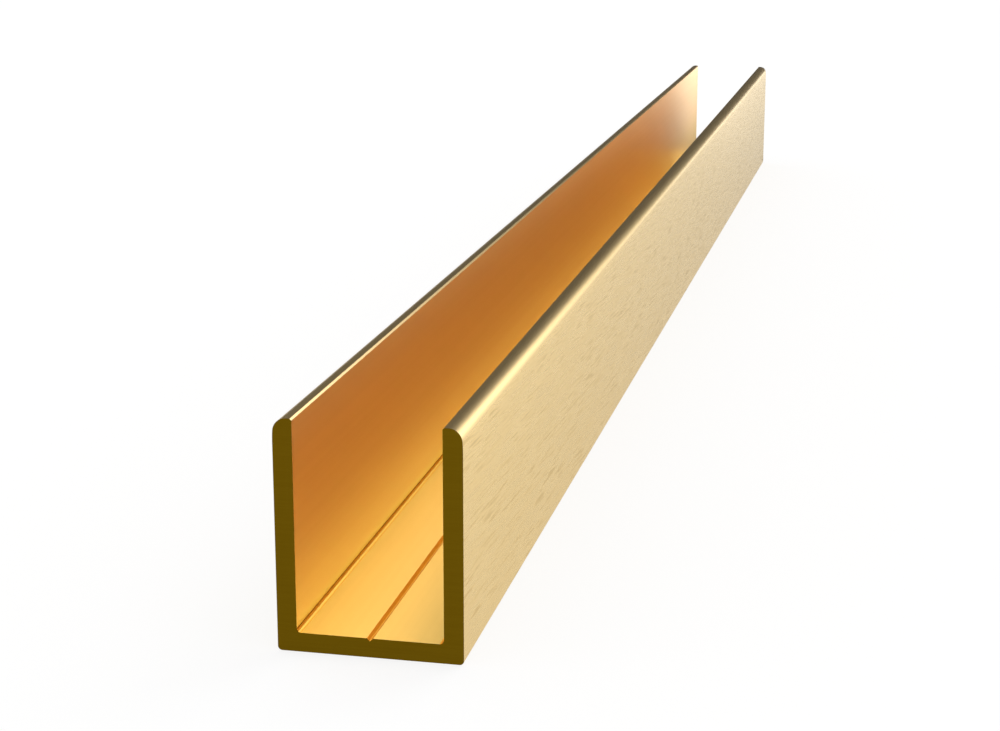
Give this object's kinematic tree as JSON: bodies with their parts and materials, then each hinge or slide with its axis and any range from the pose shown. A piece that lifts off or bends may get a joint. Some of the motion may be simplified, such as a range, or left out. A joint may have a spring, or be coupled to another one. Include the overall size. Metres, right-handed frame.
{
  "type": "aluminium u-channel profile",
  "caption": "Straight extruded aluminium U-channel with square-cut ends, rounded flange lips and a drilling groove along its web, for edging and holding panels.",
  "frame": {"origin": "middle of the web's flat underside, at half the length", "axes": "+Y along the length, +Z out of the open slot, +X across the section"},
  "size_m": [0.019, 0.33, 0.024],
  "materials": {
    "gold_anodised_aluminium": "gold anodised, brushed along the length outside, satin inside, sawn ends"
  },
  "bodies": {
    "root": {"u_channel": "gold_anodised_aluminium"}
  },
  "joints": []
}
